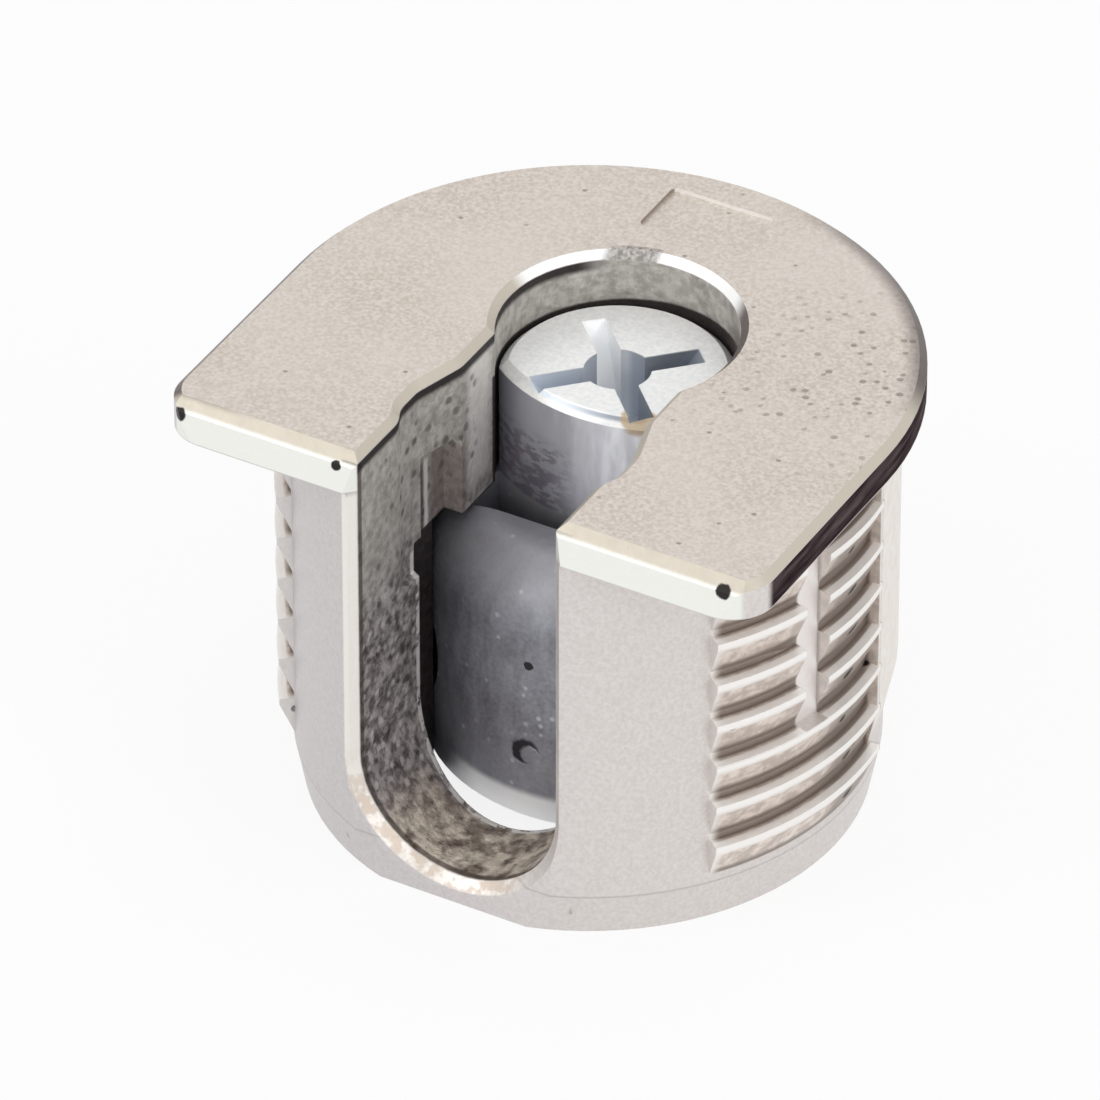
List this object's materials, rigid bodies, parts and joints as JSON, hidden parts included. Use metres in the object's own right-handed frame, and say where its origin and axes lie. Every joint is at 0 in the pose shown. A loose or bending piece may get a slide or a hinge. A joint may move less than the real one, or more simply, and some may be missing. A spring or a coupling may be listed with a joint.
{
  "type": "cam lock connector",
  "caption": "Ribbed round metal housing with a D-shaped rim and a keyhole bolt slot, holding a turning tensioning cam with a cross recess.",
  "frame": {"origin": "on the axis of the drilled hole that the housing is pressed into, level with the housing's lower end", "axes": "+Z along the hole's axis from its floor to the rim, bolt slot open towards -Y, +X to the right seen from the slot side"},
  "size_m": [0.0216, 0.0198, 0.0161],
  "materials": {
    "nickel_plate": "matte nickel plate on a die casting",
    "bare_zinc": "tumbled bare zinc die casting"
  },
  "bodies": {
    "housing": {"housing": "nickel_plate"},
    "cam": {"tensioning_cam": "bare_zinc"}
  },
  "joints": [
    {"name": "cam_turn", "type": "hinge", "parent": "housing", "child": "cam", "pos_m": [0, 0.0019, 0.007], "axis": [0, 0, 1], "continuous": true}
  ]
}
